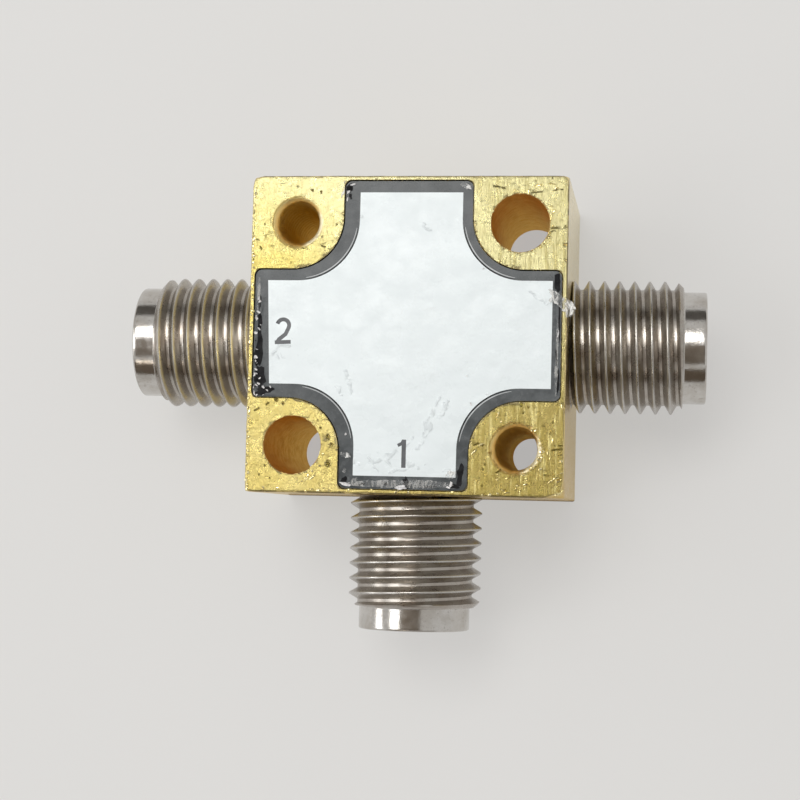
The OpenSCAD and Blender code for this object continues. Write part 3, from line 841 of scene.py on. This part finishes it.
def burrs():
    """Low blobs, most of them long, strewn over the knocked areas."""
    rng = random.Random(41)
    spots = []
    for x, y, spread_x, spread_y, count, direction, sway in KNOCKED_AREAS:
        for _ in range(count):
            width = rng.uniform(0.02, 0.05)
            length = width * rng.uniform(1.2, 4.5)
            place = (x + rng.uniform(-1, 1) * spread_x, y + rng.uniform(-1, 1) * spread_y)
            turn = direction + rng.uniform(-1, 1) * sway
            if on_metal(*place, 0.5 * length):
                spots.append(((*place, TOP - 0.01), (length, width, 0.05), turn))
    return spots


def apart(spots, room):
    """The spots that don't touch an earlier one, since the cut needs blobs that stay apart."""
    kept = []
    for centre, size in spots:
        reach = room * max(size)
        if all((Vector(centre) - Vector(c)).length > reach + room * max(s) for c, s in kept):
            kept.append((centre, size))
    return kept


# Chips on the right, left, far and near edge, at each rim and along each land
EDGE_CHIPS = (34, 26, 14, 22)
RIM_CHIPS = 14
LAND_CHIPS = 12
# Room that chips and crumbs keep from each other, as a share of their sizes
CHIP_ROOM = 1.5
CRUMB_ROOM = 0.8
# Holes with a chipped rim: place and radius
CHIPPED_RIMS = [
    (HOLE_XY, HOLE_XY, SCREW_R), (-HOLE_XY, -HOLE_XY, SCREW_R), (HOLE_XY, -HOLE_XY, TAP_R + TAP_LIP),
]
# Long nicks across the right edge: where, and how far they reach in
NICKS = [
    (-4.95, 0.24), (-5.25, 0.3), (-5.62, 0.22), (3.4, 0.2), (4.1, 0.24), (5.2, 0.2), (5.9, 0.26), (6.5, 0.2),
]


def edge_chips():
    """Chips along the front edges of the block, the pocket and the holes."""
    rng = random.Random(11)
    spots = []
    for side, count in enumerate(EDGE_CHIPS):
        for _ in range(count):
            along = rng.uniform(-HALF, HALF)
            size = rng.uniform(0.05, 0.13)
            place = [(HALF, along), (-HALF, along), (along, HALF), (along, -HALF)][side]
            long, short = size * rng.uniform(0.8, 1.8), size * rng.uniform(0.4, 0.9)
            spread = (short, long) if side < 2 else (long, short)
            spots.append(((*place, TOP - rng.uniform(0.0, 0.05)), (*spread, size * 0.8)))
    for x, y, radius in CHIPPED_RIMS:
        for _ in range(RIM_CHIPS):
            a = rng.uniform(0, TAU)
            size = rng.uniform(0.03, 0.09)
            spots.append(((*polar(x, y, radius, a), TOP), (size, size * 0.7, size * 0.6)))
    for x in (-LAND_CENTRE, LAND_CENTRE):
        for y in (-LAND_CENTRE, LAND_CENTRE):
            toward_middle = math.degrees(math.atan2(-y, -x))
            for _ in range(LAND_CHIPS):
                a = math.radians(toward_middle + rng.uniform(-50, 50))
                size = rng.uniform(0.03, 0.08)
                spots.append(((*polar(x, y, LAND_R, a), TOP), (size, size * 0.8, size * 0.7)))
    spots += [((x, y, TOP + 0.02), (radius * 0.8, radius * 0.6, 0.07)) for x, y, radius in PITS]
    return spots + [((HALF, y, TOP + 0.01), (reach, 0.05, 0.09)) for y, reach in NICKS]


def cut(target, cutters):
    """Subtracts meshes from a mesh, one after the other."""
    for cutter in cutters:
        body, tool = new_object("body", target), new_object("tool", cutter)
        modifier = body.modifiers.new("cut", "BOOLEAN")
        modifier.operation = "DIFFERENCE"
        modifier.solver = "MANIFOLD"
        modifier.object = tool
        evaluated = body.evaluated_get(bpy.context.evaluated_depsgraph_get())
        target = bpy.data.meshes.new_from_object(evaluated)
        bpy.data.objects.remove(body)
        bpy.data.objects.remove(tool)
    return target


cutters = [cavity_mesh(), tap_mesh(-HOLE_XY, HOLE_XY), tap_mesh(HOLE_XY, -HOLE_XY)]
cutters.append(chips_mesh(apart(edge_chips(), CHIP_ROOM)))
housing = cut(block_mesh(), cutters)
housing.materials.clear()
new_piece("block", housing, [GOLD], ["housing"])
crumbs = chips_mesh(apart(edge_crumbs(), CRUMB_ROOM) + burrs())
new_piece("raised_crumbs", crumbs, [FRESH_GOLD])


# Label
LABEL_ARM = 2.92
LABEL_TIP = 0.3
# The white field's arms, going round from the right one: its end, its side before, its side after,
# and how far its end leans
FIELD_ARMS = [
    (6.58, 2.37, 2.48, 0.0), (6.48, 2.46, 2.24, 0.0), (6.33, 2.43, 2.3, 0.09), (6.41, 2.27, 2.4, 0.0),
]
FIELD_CORNER_R = 2.80
HAIR_START, HAIR_END, HAIR_STEPS = 262, 188, 24
PEN = 0.185
# Places where the label's top film is torn away and black shows: middle, length, width and turn
TEARS = [
    (-2.75, 6.7, 0.35, 0.3, 60), (-2.7, 6.3, 0.14, 0.3, 10), (-6.75, -0.75, 1.6, 0.4, 88),
    (-6.7, -2.05, 1.2, 0.5, 92), (-6.75, 0.55, 0.95, 0.25, 90), (-6.45, -2.65, 0.9, 0.3, 8),
    (-6.8, 1.45, 0.7, 0.16, 90), (-0.8, -6.75, 0.45, 0.2, -18), (0.2, -6.7, 0.5, 0.35, -60),
    (2.6, -6.3, 1.15, 0.3, 84), (2.4, -6.8, 0.5, 0.2, 10), (6.8, 2.4, 0.85, 0.3, 88),
    (-2.65, -6.6, 0.3, 0.3, 20), (-1.9, -6.8, 0.5, 0.12, 4), (6.8, -0.9, 0.9, 0.08, 92),
    (6.9, 0.75, 1.9, 0.09, 90), (6.9, -2.05, 1.3, 0.11, 90), (1.15, -6.85, 0.8, 0.1, 2),
]
TEAR_POINTS = 14
# The film's inner vertices: their spacing, how far they reach across and along an arm, and how
# far they stay from a land's centre
FILM_GRID = 0.22
FILM_ARM = 2.3
FILM_REACH = 6.3
FILM_ARC = 2.6
# Where the film's damaged border starts, and over how long it grows in
BORDER_FROM = 6.2
BORDER_GROWS = 0.4
# Gap to the white field's arc and width of its two hairlines, and where the port numbers are
DARK_HAIRLINE = (0.03, 0.055)
PALE_HAIRLINE = (0.105, 0.05)
TWO_PLACE = (-5.66, 0.08)
ONE_PLACE = (-0.03, -5.4)


def arc(x, y, radius, start, end, steps):
    return [polar(x, y, radius, math.radians(start + (end - start) * i / steps)) for i in range(steps + 1)]


def turned(points, quarter_turns):
    for _ in range(quarter_turns):
        points = [(-y, x) for x, y in points]
    return points


def label_edge():
    quarter = arc(LABEL_REACH - LABEL_TIP, LABEL_ARM - LABEL_TIP, LABEL_TIP, 0, 90, 6)
    quarter += arc(LAND_CENTRE, LAND_CENTRE, LAND_CENTRE - LABEL_ARM, 270, 180, 20)
    quarter += arc(LABEL_ARM - LABEL_TIP, LABEL_REACH - LABEL_TIP, LABEL_TIP, 0, 90, 6)
    return [p for k in range(4) for p in turned(quarter, k)]


def field_edge():
    """The white field's outline, with arcs between its arms."""
    points = []
    for k, (end, _, near, lean) in enumerate(FIELD_ARMS):
        next_end, after, _, next_lean = FIELD_ARMS[(k + 1) % 4]
        quarter = [(end - lean, near)]
        quarter += arc(after + FIELD_CORNER_R, near + FIELD_CORNER_R, FIELD_CORNER_R, 270, 180, 20)
        points += turned(quarter + [(after, next_end + next_lean)], k)
    return points


def hairline(k, gap, width):
    """A thin line that runs along one of the field's arcs and fades at both its ends."""
    x, y = FIELD_ARMS[(k + 1) % 4][1] + FIELD_CORNER_R, FIELD_ARMS[k][2] + FIELD_CORNER_R
    outer, inner = [], []
    for i in range(HAIR_STEPS + 1):
        a = math.radians(HAIR_START + (HAIR_END - HAIR_START) * i / HAIR_STEPS)
        taper = math.sin(math.pi * (i + 0.5) / (HAIR_STEPS + 1)) ** 0.4
        for side, ring in ((1, outer), (-1, inner)):
            ring.append(polar(x, y, FIELD_CORNER_R - gap + side * width * taper / 2, a))
    return turned(outer + inner[::-1], k)


def tear(x, y, length, width, turn, seed):
    """A ragged outline about as long and wide as given, turned by degrees."""
    rng = random.Random(seed)
    points = []
    for i in range(TEAR_POINTS):
        a = TAU * i / TEAR_POINTS
        r = 1 + rng.uniform(-0.35, 0.35)
        points.append(swung(x, y, length / 2 * r * math.cos(a), width / 2 * r * math.sin(a), turn))
    return points


def stroke_outline(path, width):
    """The outline of a pen stroke with flat ends along a path."""
    left, right = [], []
    for i, p in enumerate(path):
        before, after = Vector(path[max(i - 1, 0)]), Vector(path[min(i + 1, len(path) - 1)])
        run = (after - before).normalized() * width / 2
        left.append((p[0] - run.y, p[1] + run.x))
        right.append((p[0] + run.y, p[1] - run.x))
    return left + right[::-1]


def digit_two(x, y):
    hook = arc(x, y + 0.28, 0.275, 165, -25, 14)
    slope = [(x + 0.12, y - 0.12), (x - 0.18, y - 0.36), (x - 0.275, y - 0.52)]
    base = [(x - 0.37, y - 0.50), (x + 0.37, y - 0.47)]
    return [stroke_outline(hook + slope, PEN), stroke_outline(base, PEN * 0.95)]


def digit_one(x, y):
    stem = [(x + 0.06, y + 0.65), (x + 0.06, y - 0.62)]
    flag = [(x + 0.04, y + 0.60), (x - 0.04, y + 0.47), (x - 0.22, y + 0.38)]
    return [stroke_outline(stem, 0.2), stroke_outline(flag, 0.15)]


def counterclockwise(outline):
    area = sum(a[0] * b[1] - b[0] * a[1] for a, b in zip(outline, outline[1:] + outline[:1]))
    return outline if area > 0 else outline[::-1]


def label_height(x, y):
    """The film's ripples, larger in its damaged border."""
    border = min(1.0, max(0.0, (max(abs(x), abs(y)) - BORDER_FROM) / BORDER_GROWS))
    ripple = 0.010 * noise.noise(Vector((x * 0.8, y * 0.8, 3.0)))
    ripple += (0.004 + 0.014 * border) * noise.noise(Vector((x * 2.6, y * 2.6, 8.0)))
    ripple += 0.012 * border * noise.noise(Vector((x * 6.0, y * 6.0, 1.0)))
    return LABEL_Z + ripple


def label_mesh():
    white, border, hair, ink, torn = range(5)
    outlines = [(label_edge(), border), (field_edge(), white)]
    outlines += [(hairline(k, *DARK_HAIRLINE), torn) for k in range(4)]
    outlines += [(hairline(k, *PALE_HAIRLINE), hair) for k in range(4)]
    outlines += [(stroke, ink) for stroke in digit_two(*TWO_PLACE) + digit_one(*ONE_PLACE)]
    outlines += [(tear(*row, seed), torn) for seed, row in enumerate(TEARS)]
    flat, rings = [], []
    for outline, _ in outlines:
        rings.append(list(range(len(flat), len(flat) + len(outline))))
        flat += counterclockwise(outline)
    count = int(LABEL_REACH / FILM_GRID)
    for i in range(-count, count + 1):
        for j in range(-count, count + 1):
            x, y = i * FILM_GRID, j * FILM_GRID
            near, far = sorted((abs(x), abs(y)))
            between = far < LAND_CENTRE and math.hypot(near - LAND_CENTRE, far - LAND_CENTRE) > FILM_ARC
            if far < FILM_REACH and (near < FILM_ARM or between):
                flat.append((x, y))
    verts, _, faces, _, _, found = delaunay_2d_cdt([Vector(p) for p in flat], [], rings, 1, 1e-5, True)
    # Triangles outside every outline are dropped
    kept = [(face, outlines[max(ids)][1]) for face, ids in zip(faces, found) if 0 in ids]
    faces, slots = [face for face, _ in kept], [slot for _, slot in kept]

    top = [(v.x, v.y, label_height(v.x, v.y)) for v in verts]
    back = [(v.x, v.y, LABEL_BACK + 0.002) for v in verts]
    shift = len(top)
    once = {}
    for face in faces:
        for a, b in zip(face, face[1:] + face[:1]):
            key = (min(a, b), max(a, b))
            once[key] = None if key in once else (a, b)
    rim = [pair for pair in once.values() if pair]
    all_faces = [*map(tuple, faces), *[tuple(i + shift for i in reversed(face)) for face in faces]]
    all_faces += [(b, a, a + shift, b + shift) for a, b in rim]
    return new_mesh("label", top + back, all_faces, slots + [border] * (len(faces) + len(rim)))


new_piece("printed_label", label_mesh(), [WHITE, SLATE, HAIRLINE, INK, TORN], ["label"])


# Loose film on the label
FLAKE_THICKNESS = 0.012
STRIP_THICKNESS = 0.010
STRIP_ROWS = 9  # in a millimetre
STRIP_COLUMNS = 6


class Sheets:
    """Thin bent sheets, gathered into one mesh. Every sheet is a closed body."""

    def __init__(self):
        self.points, self.faces, self.slots = [], [], []

    def add(self, grid, thickness, slot):
        """A sheet over rows of points."""
        rows, columns, start = len(grid), len(grid[0]), len(self.points)
        count = rows * columns
        for drop in (0.0, thickness):
            self.points += [p - Vector((0, 0, drop)) for row in grid for p in row]
        before = len(self.faces)
        for i in range(rows - 1):
            for j in range(columns - 1):
                a = start + i * columns + j
                quad = (a, a + 1, a + 1 + columns, a + columns)
                self.faces += [quad, tuple(k + count for k in reversed(quad))]
        rim = [(0, j) for j in range(columns)] + [(i, columns - 1) for i in range(1, rows)]
        rim += [(rows - 1, j) for j in range(columns - 2, -1, -1)] + [(i, 0) for i in range(rows - 2, 0, -1)]
        rim = [start + i * columns + j for i, j in rim]
        self.faces += [(b, a, a + count, b + count) for a, b in zip(rim, rim[1:] + rim[:1])]
        self.slots += [slot] * (len(self.faces) - before)

    def flake(self, x, y, z, length, width, turn, slot, seed, lift, curl, size=5):
        """A ragged flake. lift tilts it along its length, and curl bends its ends up."""
        rng = random.Random(seed)
        shift = Vector((rng.uniform(0, 50), rng.uniform(0, 50), 0))
        grid = []
        for i in range(size):
            grid.append([])
            for j in range(size):
                u, v = 2 * i / (size - 1) - 1, 2 * j / (size - 1) - 1
                squeeze = 1 - 0.29 * (abs(u) * abs(v))
                rough = 1 + 0.55 * noise.noise(Vector((u * 1.4, v * 1.4, 0)) + shift)
                a, b = u * squeeze * rough * length / 2, v * squeeze * rough * width / 2
                h = z + lift * (u + 1) / 2 + curl * u * u + 0.3 * curl * v * v
                h += 0.25 * (lift + curl) * noise.noise(Vector((u * 2, v * 2, 4)) + shift)
                grid[i].append(Vector((*swung(x, y, a, b, turn), h)))
        self.add(grid, FLAKE_THICKNESS, slot)

    def strip(self, start, end, width, z, wave, slot, seed):
        """A wrinkled strip of film from start to end."""
        a = Vector((*start, 0))
        run = Vector((*end, 0)) - a
        side = Vector((-run.y, run.x, 0)).normalized()
        count = max(4, round(run.length * STRIP_ROWS))
        shift = Vector((seed * 7.3, seed * 3.1, 0))
        grid = []
        for i in range(count + 1):
            ragged = 1 + 0.35 * noise.noise(Vector((i / STRIP_ROWS * 2.2, 0, 9)) + shift)
            ragged *= min(1.0, 0.35 + 3.0 * min(i, count - i) / count)
            grid.append([])
            for j in range(STRIP_COLUMNS + 1):
                v = 2 * j / STRIP_COLUMNS - 1
                place = a + run * (i / count) + side * (v * width / 2 * ragged)
                ripple = noise.noise(Vector((place.x * 3.2, place.y * 3.2, 0)) + shift)
                ripple += 0.6 * noise.noise(Vector((place.x * 8.0, place.y * 8.0, 3)) + shift)
                grid[i].append(place + Vector((0, 0, z + wave * (0.6 + ripple))))
        self.add(grid, STRIP_THICKNESS, slot)


ON_FILM = LABEL_Z + 0.02
clear, chip, black, scrap = range(4)
# Start, end, width, height, waviness, look and seed
STRIPS = [
    ((-6.82, 2.55), (-6.86, 0.9), 0.14, ON_FILM, 0.012, clear, 11),
    ((-2.55, -6.78), (2.30, -6.72), 0.34, ON_FILM, 0.022, clear, 12),
    ((6.84, 0.75), (6.80, -2.70), 0.13, ON_FILM, 0.014, clear, 21),
]
# Middle, height, length, width, turn, look, seed, lift, curl and, if it isn't 5, points along a side
FLAKES = [
    # A scrap over the right rim, in two folds
    (6.98, 1.55, TOP + 0.035, 1.15, 0.55, -28, scrap, 1, -0.02, 0.06, 9),
    (7.26, 1.26, TOP + 0.05, 0.8, 0.55, -62, scrap, 2, 0.03, 0.08, 9),
    (7.36, 0.98, TOP + 0.045, 0.42, 0.3, 10, scrap, 3, 0.02, 0.06, 7),
    (6.62, 1.92, ON_FILM, 0.6, 0.2, -35, scrap, 4, 0.02, 0.02),
    # Top corners
    (-3.03, 6.55, TOP + 0.012, 0.75, 0.13, 84, scrap, 5, 0.0, 0.02, 7),
    (-2.79, 6.5, ON_FILM, 0.18, 0.1, 40, chip, 6, 0.03, 0.01),
    (-2.6, 6.84, ON_FILM, 0.26, 0.08, 10, chip, 7, 0.02, 0.01),
    (-2.84, 6.16, ON_FILM, 0.2, 0.07, 80, chip, 8, 0.02, 0.01),
    (2.58, 6.78, ON_FILM, 0.52, 0.24, -32, scrap, 9, 0.02, 0.02, 7),
    (2.72, 6.7, ON_FILM, 0.28, 0.1, -30, chip, 10, 0.03, 0.01),
    # Bottom end
    (-0.06, -6.9, ON_FILM + 0.03, 0.5, 0.2, 4, chip, 13, 0.02, 0.03, 7),
    (2.2, -6.3, ON_FILM + 0.02, 0.52, 0.34, 30, scrap, 14, 0.03, 0.05, 9),
    (2.2, -6.72, ON_FILM + 0.02, 0.3, 0.12, 75, chip, 15, 0.03, 0.01),
    (2.08, -6.86, ON_FILM + 0.02, 0.2, 0.1, -20, chip, 16, 0.03, 0.01),
    (-2.62, -5.5, ON_FILM, 0.5, 0.26, -14, scrap, 31, 0.06, 0.02, 9),
    (-2.6, -6.8, ON_FILM, 0.5, 0.14, -12, chip, 18, 0.03, 0.02),
    (-2.2, -6.62, ON_FILM, 0.34, 0.16, 24, clear, 19, 0.03, 0.03),
    (-2.66, -6.2, ON_FILM, 0.22, 0.16, 50, clear, 20, 0.03, 0.02),
    # Right end and arcs
    (6.86, 0.1, ON_FILM, 0.3, 0.07, 82, chip, 22, 0.02, 0.01),
    (2.81, -1.84, ON_FILM, 0.12, 0.08, 10, clear, 23, 0.03, 0.02),
    (3.45, 3.02, ON_FILM, 0.12, 0.06, 40, chip, 24, 0.02, 0.01),
    (3.02, -3.1, ON_FILM, 0.16, 0.07, 110, chip, 25, 0.03, 0.01),
    (3.72, -2.66, ON_FILM, 0.14, 0.07, 20, clear, 26, 0.03, 0.01),
    (-2.64, -4.55, ON_FILM, 0.13, 0.08, 70, chip, 27, 0.02, 0.01),
]
# Small chips beside the tears of the left end. The last few lie along its lower corner
LEFT_CHIPS = 34
CORNER_CHIPS_FROM = 26


def label_scraps():
    """Clear strips, silvery chips, and a scrap that hangs over the right side."""
    sheets = Sheets()
    for row in STRIPS:
        sheets.strip(*row)
    for row in FLAKES:
        sheets.flake(*row)
    rng = random.Random(5)
    for number in range(LEFT_CHIPS):
        beside = number < CORNER_CHIPS_FROM
        y = rng.uniform(-2.80, 1.7) if beside else rng.uniform(-2.85, -2.45)
        x = -6.93 + abs(rng.gauss(0, 0.09)) if beside else rng.uniform(-6.95, -6.0)
        length = rng.uniform(0.07, 0.20)
        sheets.flake(x, y, ON_FILM, length, length * rng.uniform(0.3, 0.7), rng.uniform(0, 180),
                     chip if rng.random() < 0.7 else black, 100 + number, rng.uniform(0.0, 0.05), 0.01)
    return reworked(new_mesh("scraps", sheets.points, sheets.faces, sheets.slots))


new_piece("label_scraps", label_scraps(), [CLEAR, FLAKE, TORN, SCRAP])


# Floor, lamps and world. Their sizes and distances are in metres
FLOOR_SIZE = 1.6
FLOOR_TONE = (0.66, 0.655, 0.645)
FLOOR_PALE = (0.80, 0.79, 0.775)
FLOOR_SHARE = 0.55
FOOT_SHADOW = (0.10, 0.065, 0.03)
GREY_DARK = (0.16, 0.15, 0.14)
BROWN_DARK = (0.20, 0.155, 0.115)
BROWN_MID = (0.36, 0.31, 0.26)
WORLD_TONE = (0.66, 0.655, 0.64, 1)
AWAY = 0.3


def new_stage(name, width, height, look):
    """A flat sheet beside the object."""
    w, h = width / 2 / MM, height / 2 / MM
    mesh = new_mesh(name, [(-w, -h, 0), (w, -h, 0), (w, h, 0), (-w, h, 0)], [(0, 1, 2, 3)])
    mesh.materials.append(look.material)
    made = new_object(name, mesh)
    return made


def make_floor():
    """A pale floor. About half of what is seen of it is plain paleness, also down the holes."""
    look = Look("floor", FLOOR_TONE, 0.9)
    darker = [0.98 * c for c in FLOOR_TONE]
    look.set("Base Color", look.mix(look.noise(0.05).ramp(0.3, 0.7), darker, FLOOR_TONE))
    path = look.node("ShaderNodeLightPath")
    mirrored = look.math("MAXIMUM", path.outputs["Is Glossy Ray"], path.outputs["Is Transmission Ray"])
    beside = look.vector("LENGTH", look.place).ramp(9.0, 11.0, 0.8, 1)
    seen = (mirrored * beside).at_least(path.outputs["Is Camera Ray"])
    # Painted shadow: a dark strip of floor along the block's near side, seen only in reflections, where the
    # floor meets it
    x, y, _ = look.axes()
    foot = y.ramp(-HALF - 0.5, -HALF - 0.2) * y.ramp(-HALF, -HALF + 0.1, 1, 0)
    foot = foot * abs(x).ramp(HALF, HALF + 0.1, 1, 0) * mirrored
    pale = look.node("ShaderNodeEmission", {"Color": look.mix(foot, FLOOR_PALE, FOOT_SHADOW)})
    share = (seen * FLOOR_SHARE).at_least(foot)
    blend = look.node("ShaderNodeMixShader", {0: share, 1: look.shader.outputs[0], 2: pale.outputs[0]})
    look.give(look.tree.nodes["Material Output"].inputs["Surface"], blend.outputs[0])
    new_stage("floor", FLOOR_SIZE, FLOOR_SIZE, look)


def toward(tilt_x, tilt_y):
    """Unit direction from the object, tilted from straight up by degrees towards +X and +Y."""
    return Vector((math.tan(math.radians(tilt_x)), math.tan(math.radians(tilt_y)), 1)).normalized()


def level(side, rise):
    """Unit direction from the object along +Y or -Y, raised by degrees."""
    return Vector((0, side * math.cos(math.radians(rise)), math.sin(math.radians(rise))))


def aim(made, direction, distance):
    made.location = direction * distance
    made.rotation_euler = direction.to_track_quat("Z", "Y").to_euler()


def make_panel(name, direction, width, height, radiance, color):
    """A soft lamp that faces the object. Its radiance is 1 for paper white."""
    data = bpy.data.lights.new(name, "AREA")
    data.shape = "RECTANGLE"
    data.size, data.size_y = width, height
    data.energy = radiance * math.pi * width * height
    data.color = color
    aim(new_object(name, data), direction, AWAY)


def make_card(name, direction, width, height, shade, distance=AWAY):
    """A card that the metal reflects and the camera doesn't see."""
    look = Look(name, shade, 0.9)
    look.set("Base Color", look.mix(look.noise(0.02, 2.0), [0.9 * c for c in shade], shade))
    card = new_stage(name, width, height, look)
    card.visible_camera = False
    aim(card, direction, distance)


make_floor()
make_panel("key", toward(-8, 17), 0.13, 0.12, 5.5, (1.0, 0.99, 0.97))
make_panel("left_window", toward(-33, -3), 0.16, 0.10, 2.7, (0.98, 0.99, 1.0))
make_panel("low_window", toward(-69, -3), 0.20, 0.07, 3.0, (0.98, 0.99, 1.0))
make_panel("warm_panel", toward(-18, -48), 0.10, 0.022, 2.0, (1.0, 0.86, 0.70))
make_card("back_flag", level(1, 24), 0.5, 0.14, GREY_DARK)
make_card("front_flag", level(-1, 28), 0.5, 0.16, BROWN_DARK)
make_card("overhead_flag", toward(-1.7, -16.6), 0.209, 0.197, BROWN_MID, 0.28)

world = bpy.data.worlds.new("studio")
world.use_nodes = True
world.node_tree.nodes["Background"].inputs["Color"].default_value = WORLD_TONE
world.node_tree.nodes["Background"].inputs["Strength"].default_value = 1.0
bpy.context.scene.world = world
bpy.context.scene.view_settings.view_transform = "Standard"
